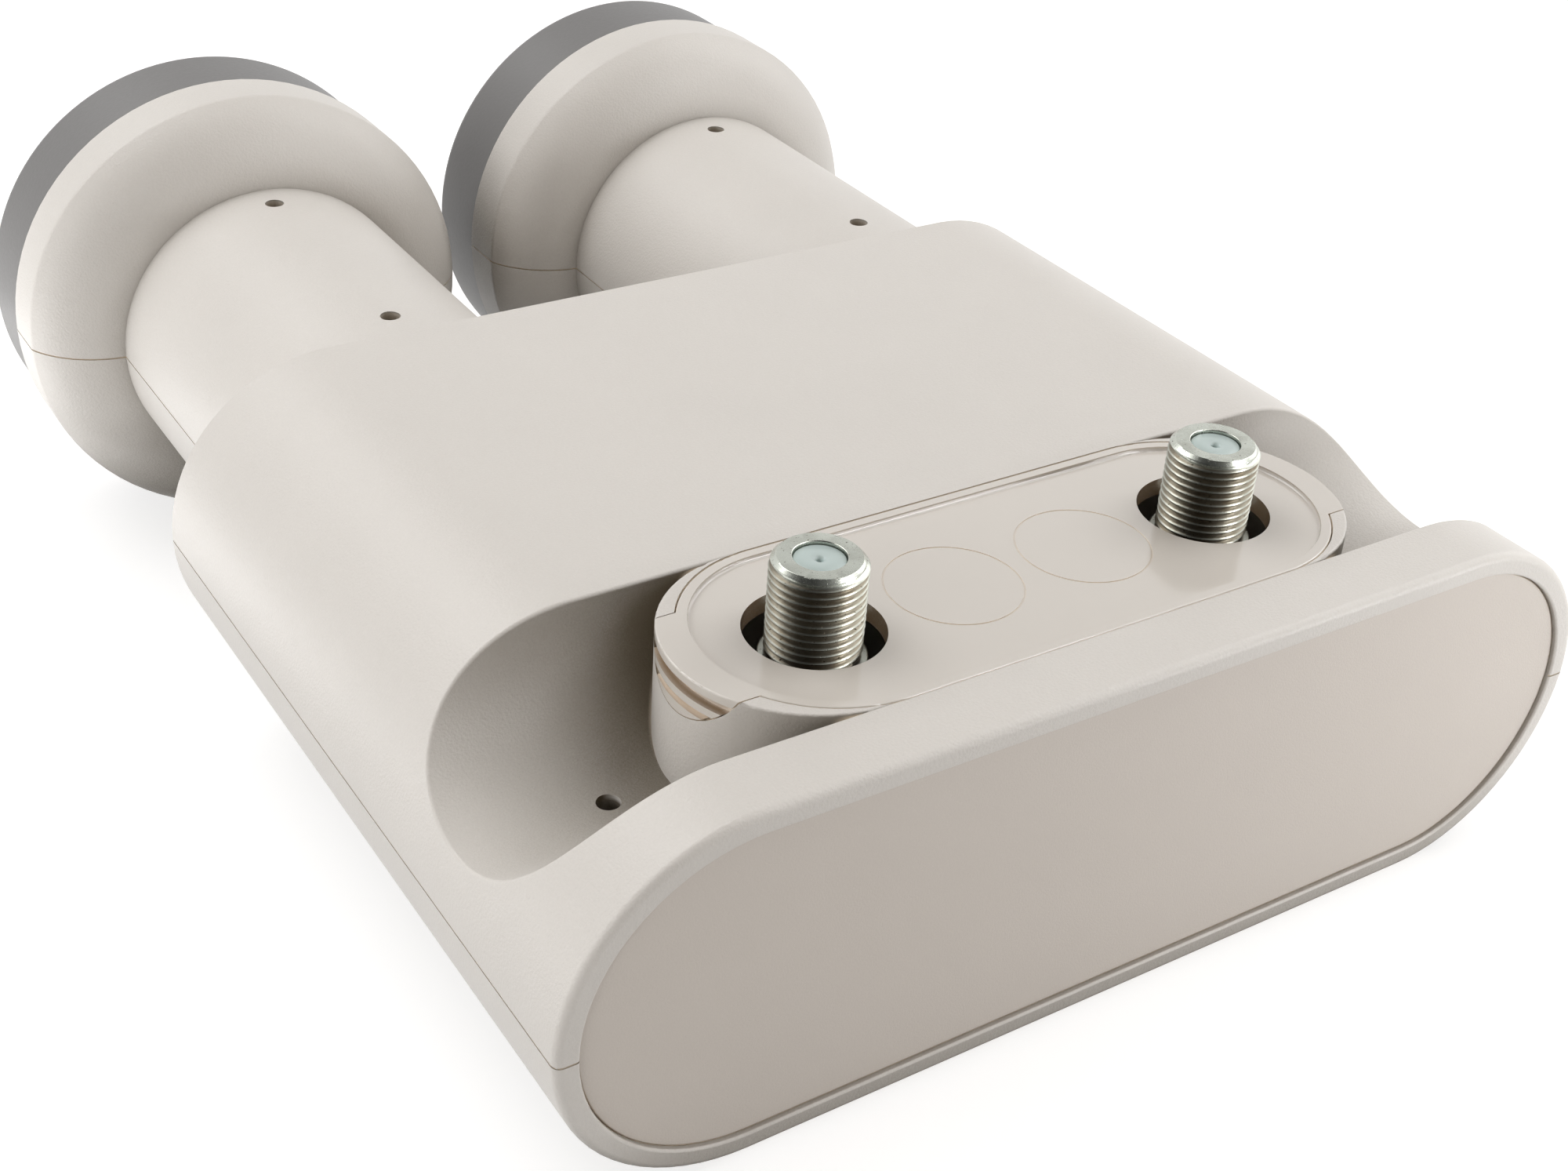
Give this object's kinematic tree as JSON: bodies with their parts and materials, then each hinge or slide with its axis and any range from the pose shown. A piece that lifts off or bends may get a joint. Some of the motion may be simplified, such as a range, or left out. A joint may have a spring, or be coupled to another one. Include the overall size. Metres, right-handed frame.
{
  "type": "satellite lnb",
  "caption": "Flat satellite receiver head: capped feed horns on round clamp collars, a split moulded housing, threaded coaxial outputs and a slide-out weather shield.",
  "frame": {"origin": "under the middle of the part, level with the lowest line of the flanges", "axes": "+X across the housing from one feed to the other, +Y along the feeds towards the dish, +Z the way the coaxial outputs point"},
  "size_m": [0.127, 0.1684, 0.0604],
  "materials": {
    "housing": "warm pale grey moulded plastic with a fine spark-eroded grain",
    "end_plate": "pale grey moulded plastic, finely matt",
    "shield": "pale moulded plastic, smooth and faintly glossy on its plate",
    "cap": "dark grey satin plastic",
    "socket": "nickel plate",
    "insulator": "smooth white plastic",
    "casting": "bare die-casting",
    "screw": "zinc-plated steel",
    "board": "green solder mask",
    "chip": "black moulded package",
    "contact": "bright brass",
    "seal": "black rubber"
  },
  "bodies": {
    "housing": {"upper_housing": "housing", "lower_housing": "housing", "end_plate": "end_plate", "feed_cap_left": "cap", "feed_cap_right": "cap", "f_connector_left": "socket", "f_connector_right": "socket", "f_insulator_left": "insulator", "f_insulator_right": "insulator", "feed_casting": "casting", "casting_cover": "casting", "cover_screws": "screw", "circuit_board": "board", "converter_chips": "chip", "feed_probes": "contact", "f_contact_left": "contact", "f_contact_right": "contact", "cap_seal_left": "seal", "cap_seal_right": "seal", "connector_seal_left": "seal", "connector_seal_right": "seal"},
    "shield": {"weather_shield": "shield"}
  },
  "joints": [
    {"name": "shield_slide", "type": "slide", "parent": "housing", "child": "shield", "axis": [0, 0, 1], "range_m": [0, 0.018]}
  ]
}
